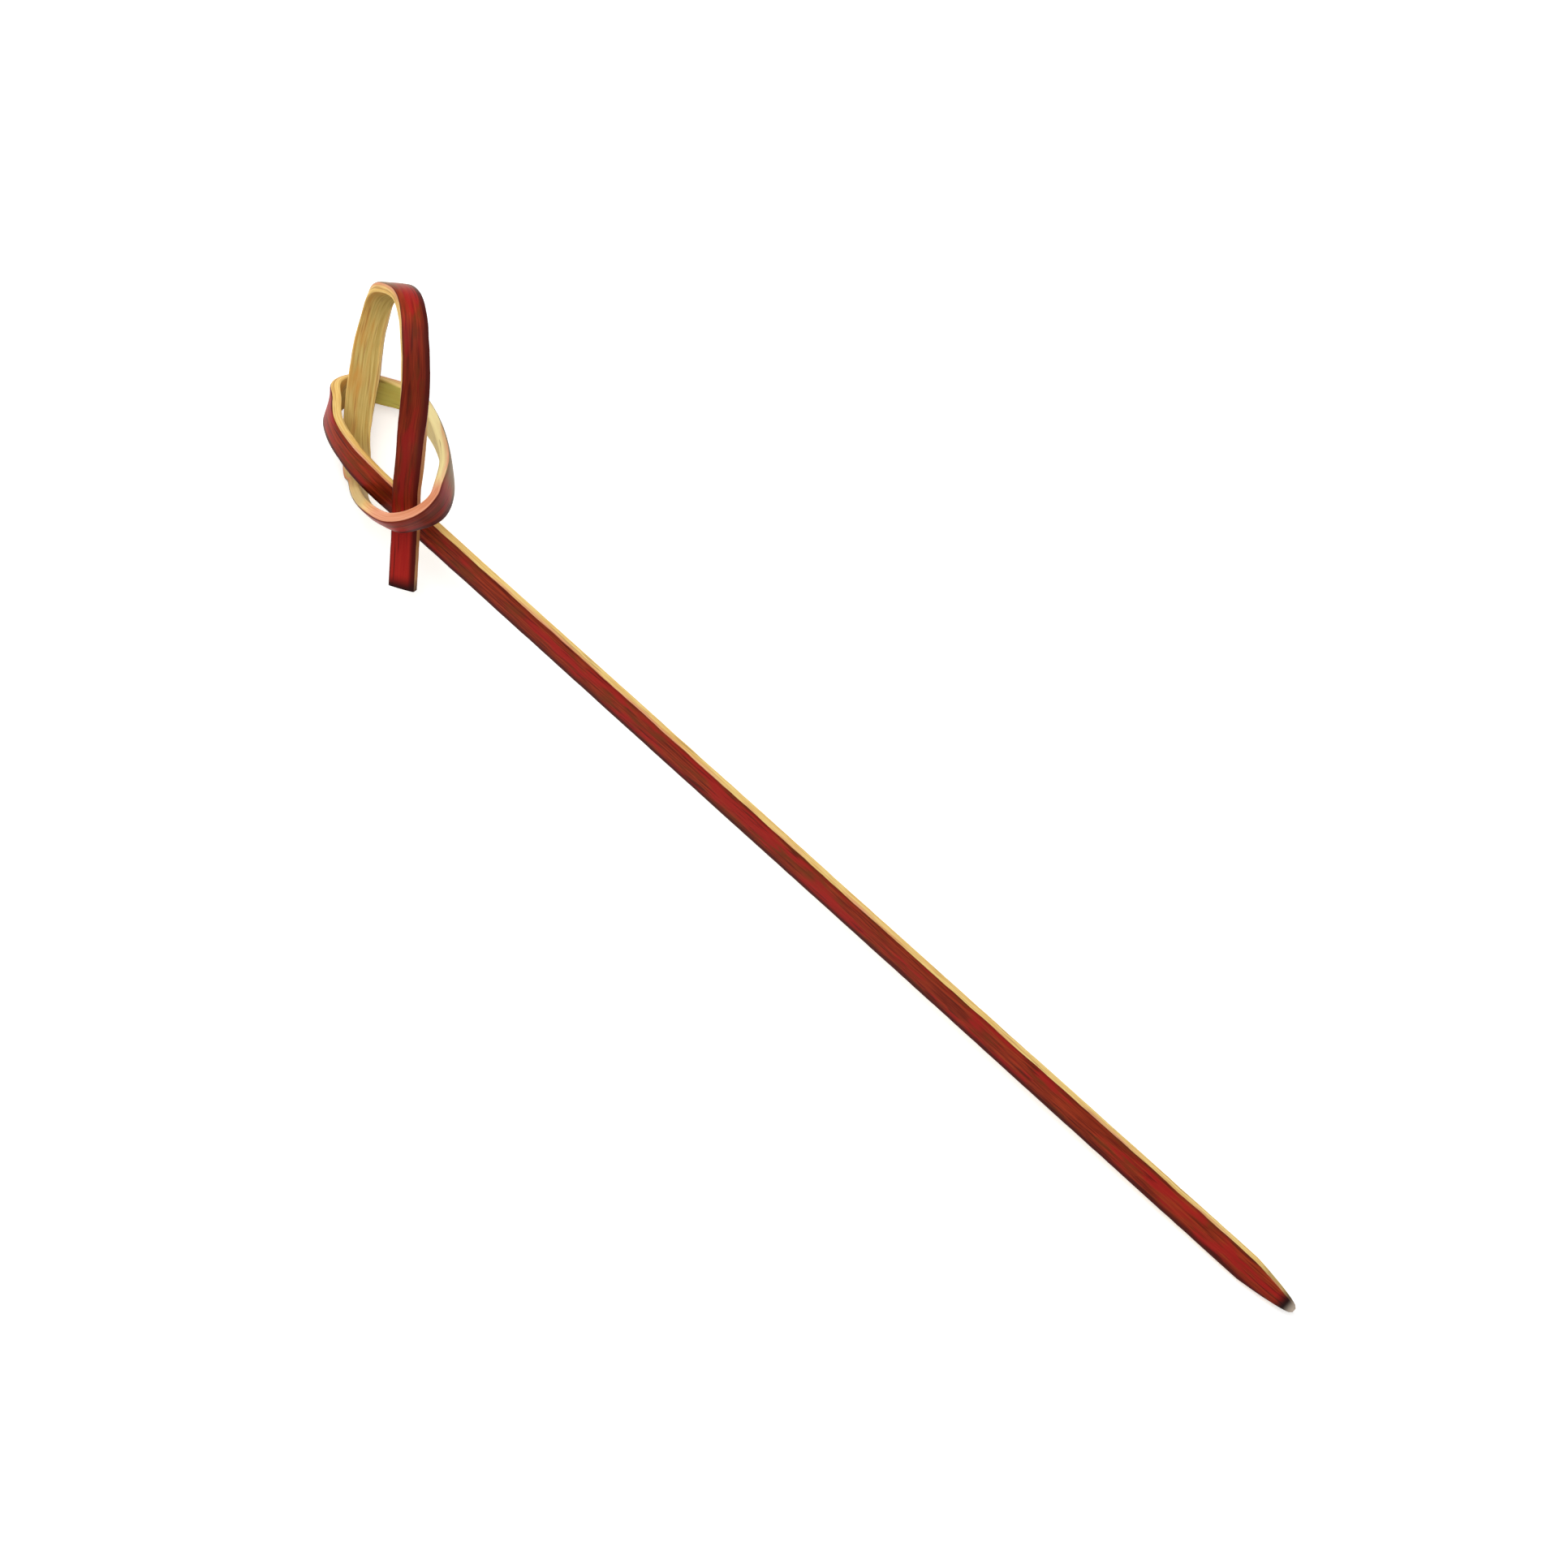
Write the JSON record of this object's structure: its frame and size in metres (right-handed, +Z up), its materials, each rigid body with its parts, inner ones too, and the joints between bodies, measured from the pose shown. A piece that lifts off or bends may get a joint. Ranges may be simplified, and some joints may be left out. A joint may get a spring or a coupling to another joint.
{
  "type": "looped bamboo skewer",
  "caption": "Flat bamboo skewer with a dyed outer face, pointed at one end and tied at the other in a knot with a standing loop and a short cut tail.",
  "frame": {"origin": "on the floor, under the centre of the box around the skewer as it lies", "axes": "+X along the shaft from the knot towards the tip, +Z up from the floor it lies on, +Y to the side that the loop leans to"},
  "size_m": [0.1206, 0.0196, 0.0141],
  "materials": {
    "natural_bamboo": "bare, fine-grained",
    "dyed_bamboo": "dyed dark red, slight sheen"
  },
  "bodies": {
    "root": {"point_core": "natural_bamboo", "point_skin": "dyed_bamboo", "outer_shaft_core": "natural_bamboo", "outer_shaft_skin": "dyed_bamboo", "inner_shaft_core": "natural_bamboo", "inner_shaft_skin": "dyed_bamboo", "rising_strand_core": "natural_bamboo", "rising_strand_skin": "dyed_bamboo", "left_turn_core": "natural_bamboo", "left_turn_skin": "dyed_bamboo", "wrap_back_core": "natural_bamboo", "wrap_back_skin": "dyed_bamboo", "right_turn_core": "natural_bamboo", "right_turn_skin": "dyed_bamboo", "wrap_front_core": "natural_bamboo", "wrap_front_skin": "dyed_bamboo", "lower_turn_core": "natural_bamboo", "lower_turn_skin": "dyed_bamboo", "back_leg_core": "natural_bamboo", "back_leg_skin": "dyed_bamboo", "crown_core": "natural_bamboo", "crown_skin": "dyed_bamboo", "front_leg_core": "natural_bamboo", "front_leg_skin": "dyed_bamboo", "tail_core": "natural_bamboo", "tail_skin": "dyed_bamboo"}
  },
  "joints": []
}
